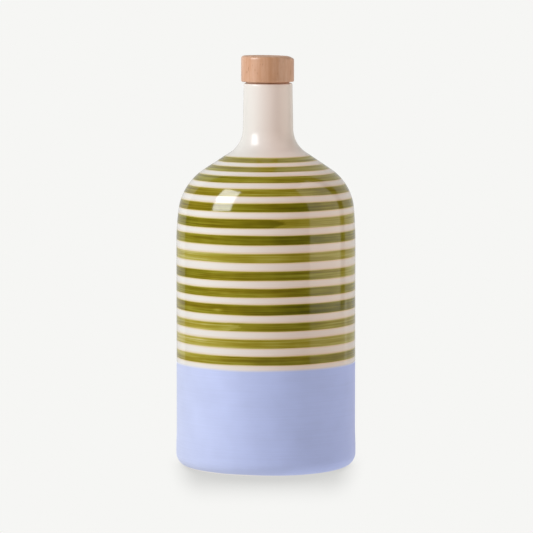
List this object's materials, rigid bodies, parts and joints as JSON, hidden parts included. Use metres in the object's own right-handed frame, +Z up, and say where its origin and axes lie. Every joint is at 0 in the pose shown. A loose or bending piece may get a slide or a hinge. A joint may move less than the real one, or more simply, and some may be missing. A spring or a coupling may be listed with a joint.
{
  "type": "ceramic bottle",
  "caption": "Round ceramic bottle with a straight drum, sloping shoulder and narrow neck, painted in stripes over a dipped base and shut with a turned wooden stopper.",
  "frame": {"origin": "centre of the foot ring, on the ground that the bottle stands on", "axes": "+Z up along the bottle's axis through the mouth; +X to the right and -Y towards the viewer, both free to choose on a round bottle"},
  "size_m": [0.0925, 0.0924, 0.211],
  "materials": {
    "glazed_stoneware": "cream gloss glaze with painted olive stripes over a satin blue dipped base",
    "beech": "turned beech, waxed"
  },
  "bodies": {
    "root": {"bottle": "glazed_stoneware", "stopper": "beech"}
  },
  "joints": []
}
